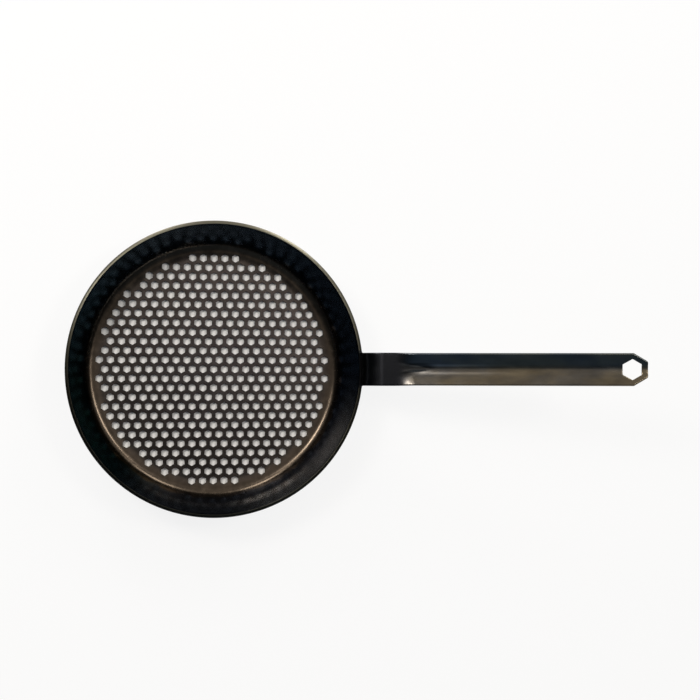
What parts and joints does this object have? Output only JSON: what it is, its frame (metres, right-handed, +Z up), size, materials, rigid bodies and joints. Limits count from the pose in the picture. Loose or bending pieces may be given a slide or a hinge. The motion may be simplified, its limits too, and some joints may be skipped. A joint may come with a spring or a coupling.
{
  "type": "long-handled grill pan",
  "caption": "Carbon steel grill pan: flared round bowl with a floor of hexagonal holes for cooking over open fire, and a long flat steel handle with a hanging hole.",
  "frame": {"origin": "on the surface that the pan stands on, halfway along its whole length", "axes": "+X from the bowl towards the tip of the handle, +Z up out of the bowl, +Y to the left of the handle seen from the bowl"},
  "size_m": [0.4864, 0.2542, 0.1167],
  "materials": {
    "floor_steel": "oil-seasoned carbon steel, dark brown, satin",
    "wall_steel": "oil-seasoned carbon steel, blue-black turning bronze in the bend, satin",
    "handle_steel": "oil-seasoned carbon steel, bronze to navy, satin",
    "weld_steel": "ground weld, seasoned with the pan"
  },
  "bodies": {
    "root": {"perforated_floor": "floor_steel", "pan_wall": "wall_steel", "handle": "handle_steel", "handle_seam_weld": "weld_steel", "corner_weld_left": "weld_steel", "corner_weld_right": "weld_steel"}
  },
  "joints": []
}
